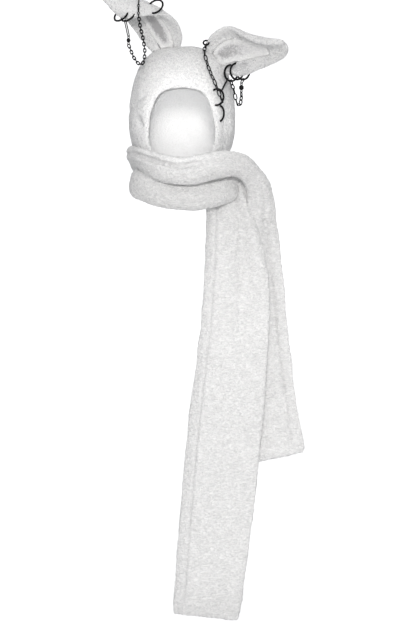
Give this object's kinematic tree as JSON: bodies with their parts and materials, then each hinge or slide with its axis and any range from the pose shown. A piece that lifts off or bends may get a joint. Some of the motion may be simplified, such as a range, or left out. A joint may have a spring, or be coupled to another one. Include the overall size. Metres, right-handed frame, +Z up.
{
  "type": "animal hood scarf",
  "caption": "Padded fleece hood with two droopy animal ears and a long wrapped scarf, pierced with black hoops, wire links and chains.",
  "frame": {"origin": "inside top of the hood's crown, where it sits on a head", "axes": "+Z up, the face opening towards -Y, +X towards the ear that points sideways"},
  "size_m": [0.4621, 0.2861, 1.379],
  "materials": {
    "fleece": "pale curly teddy fleece, matt",
    "plush": "smooth grey plush",
    "black_metal": "black plated, glossy"
  },
  "bodies": {
    "root": {"hood": "fleece", "ear_left": "fleece", "ear_right": "fleece", "ear_left_lining": "plush", "ear_right_lining": "plush", "scarf_wrap": "fleece", "front_tail": "fleece", "wire_link_left": "black_metal", "clasp_left": "black_metal", "chain_left": "black_metal", "toggle_bar": "black_metal", "wire_link_toggle": "black_metal", "wire_link_right": "black_metal", "clasp_right": "black_metal", "chain_right": "black_metal", "wire_link_hood": "black_metal", "rim_hook": "black_metal", "chain_hood": "black_metal", "ear_pin": "black_metal", "hoop_left_1": "black_metal", "hoop_left_2": "black_metal", "hoop_left_3": "black_metal", "hoop_right_1": "black_metal", "hoop_right_2": "black_metal", "hoop_right_3": "black_metal", "hoop_hood_1": "black_metal", "hoop_hood_2": "black_metal"}
  },
  "joints": []
}
